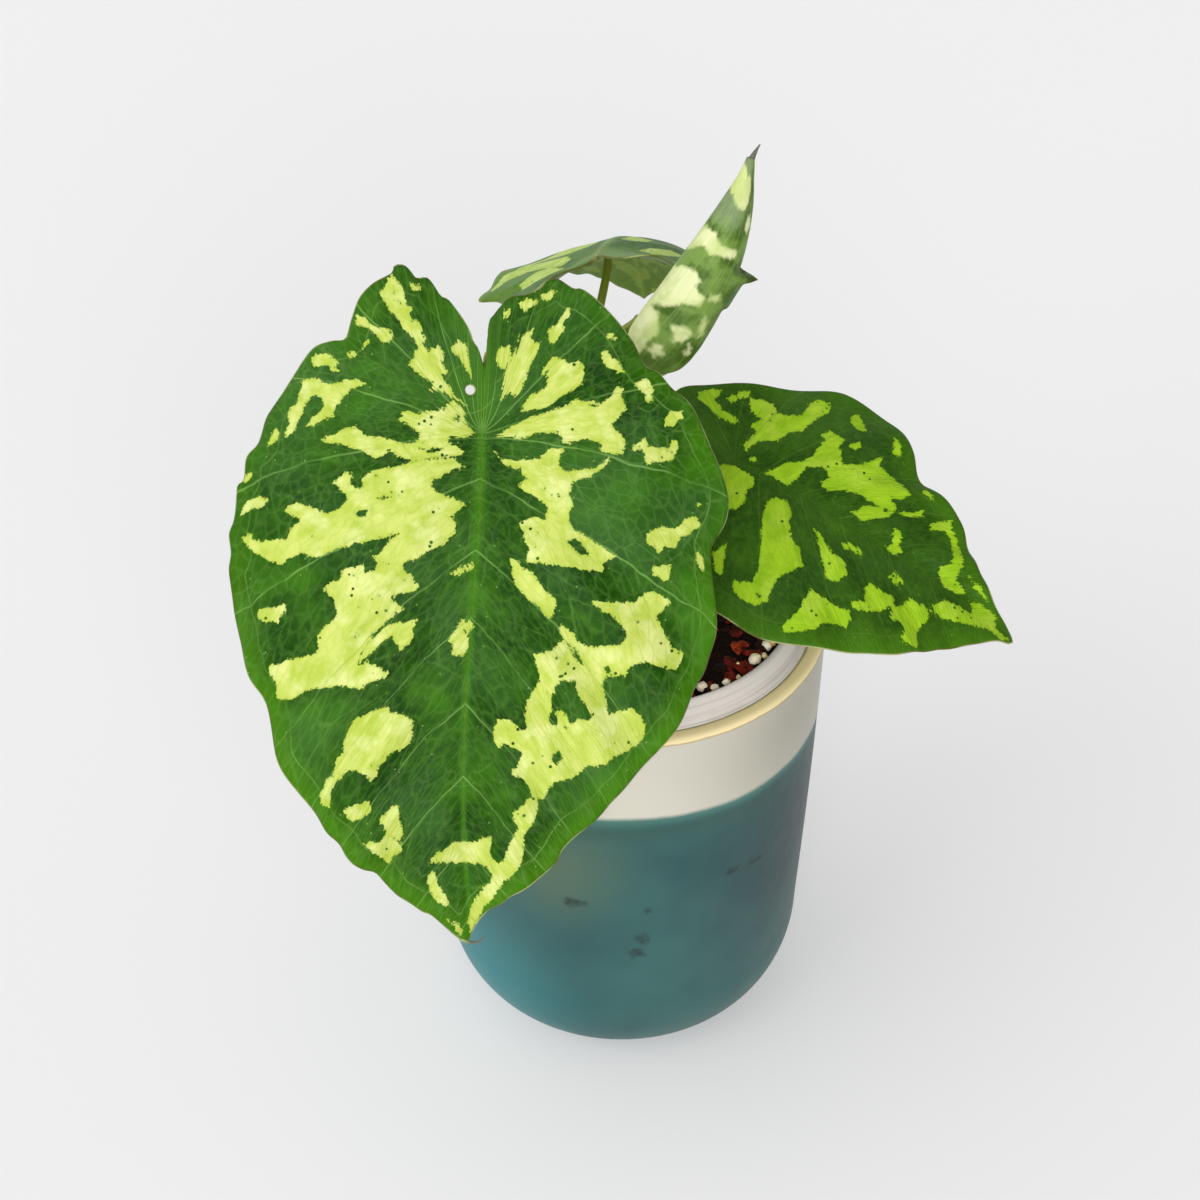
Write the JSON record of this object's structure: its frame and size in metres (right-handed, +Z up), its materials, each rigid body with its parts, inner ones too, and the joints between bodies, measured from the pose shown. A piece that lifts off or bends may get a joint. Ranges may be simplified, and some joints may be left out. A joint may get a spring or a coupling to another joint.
{
  "type": "potted caladium plant",
  "caption": "Marbled heart-shaped caladium leaves on slender stalks over bark soil, in a plastic grow pot inside a round-footed stoneware pot dipped in teal and cream glaze.",
  "frame": {"origin": "centre of the stoneware pot's flat foot, on the surface it stands on", "axes": "+Z up out of the pot, -Y towards the front where the biggest leaf hangs over the rim, +X to the right as seen from the front"},
  "size_m": [0.217, 0.2446, 0.2725],
  "materials": {
    "stoneware_glaze": "satin",
    "grow_pot_plastic": "satin",
    "bark_soil": "matte",
    "tuber_skin": "matte",
    "leaf_front": "satin",
    "leaf_right": "satin",
    "leaf_back": "satin",
    "leaf_rolled": "satin",
    "stalk_green": "satin"
  },
  "bodies": {
    "root": {"pot": "stoneware_glaze", "grow_pot": "grow_pot_plastic", "soil": "bark_soil", "tuber": "tuber_skin", "stalk_front": "stalk_green", "stalk_right": "stalk_green", "stalk_rolled": "stalk_green", "stalk_back": "stalk_green", "blade_front": "leaf_front", "blade_right": "leaf_right", "blade_back": "leaf_back", "blade_rolled": "leaf_rolled"}
  },
  "joints": []
}
